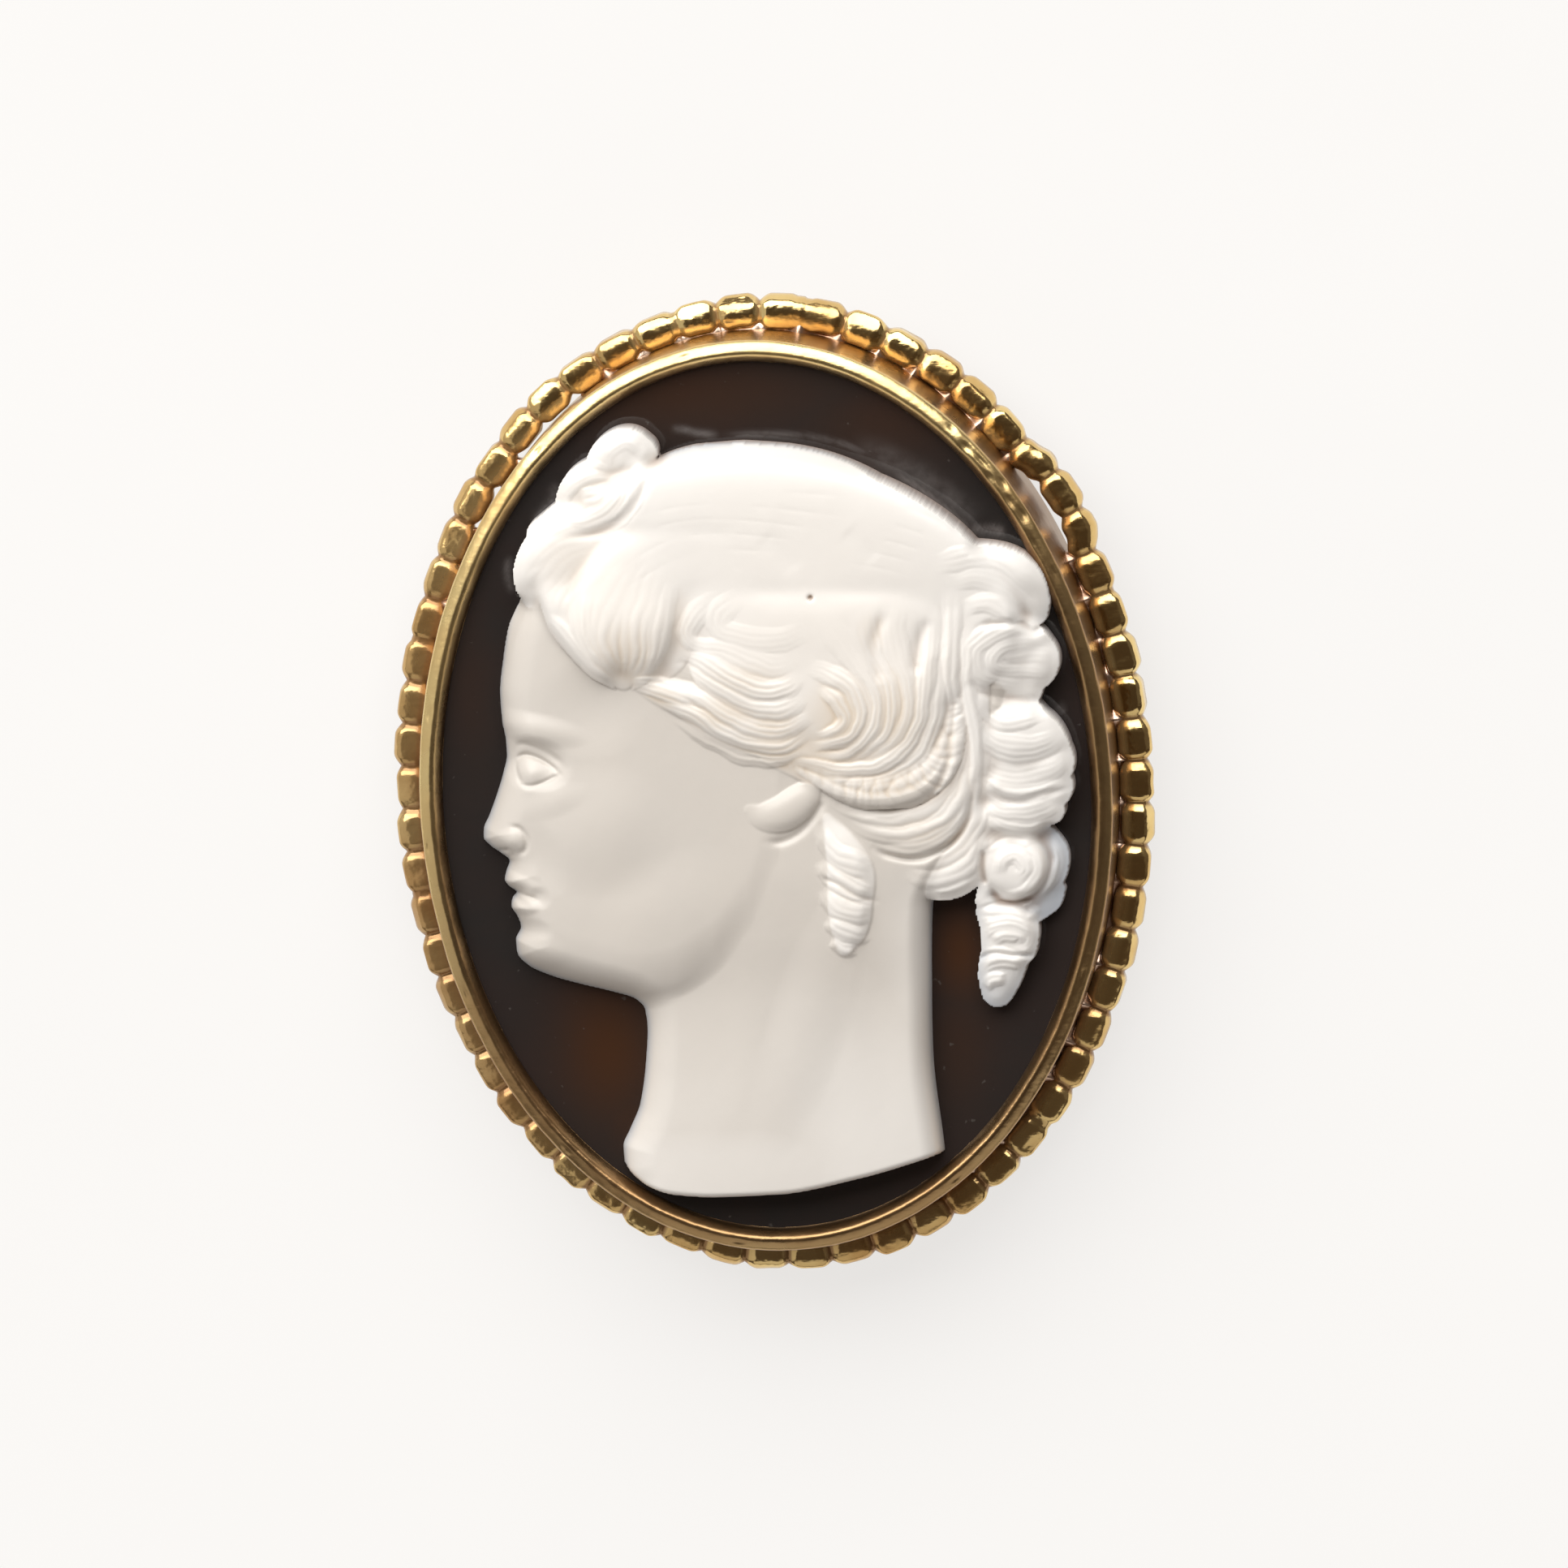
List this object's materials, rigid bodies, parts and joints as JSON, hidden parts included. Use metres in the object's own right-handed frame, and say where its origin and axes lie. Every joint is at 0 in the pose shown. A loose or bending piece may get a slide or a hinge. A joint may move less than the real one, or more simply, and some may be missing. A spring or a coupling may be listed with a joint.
{
  "type": "cameo brooch",
  "caption": "Oval cameo brooch: a carved two-layer stone in a gold bezel with a beaded wire edge and a plain pin across the open back.",
  "frame": {"origin": "under the middle of the oval, level with the lowest point of the pin", "axes": "+Z out of the stone's face, +Y towards the top of the oval, +X to the wearer's left"},
  "size_m": [0.0338, 0.044, 0.0091],
  "materials": {
    "gold": "polished yellow gold, worn",
    "dark_stone": "polished dark brown sard",
    "white_stone": "satin white chalcedony"
  },
  "bodies": {
    "root": {"gold_mount": "gold", "stone_ground": "dark_stone", "relief": "white_stone", "pin": "gold"}
  },
  "joints": []
}
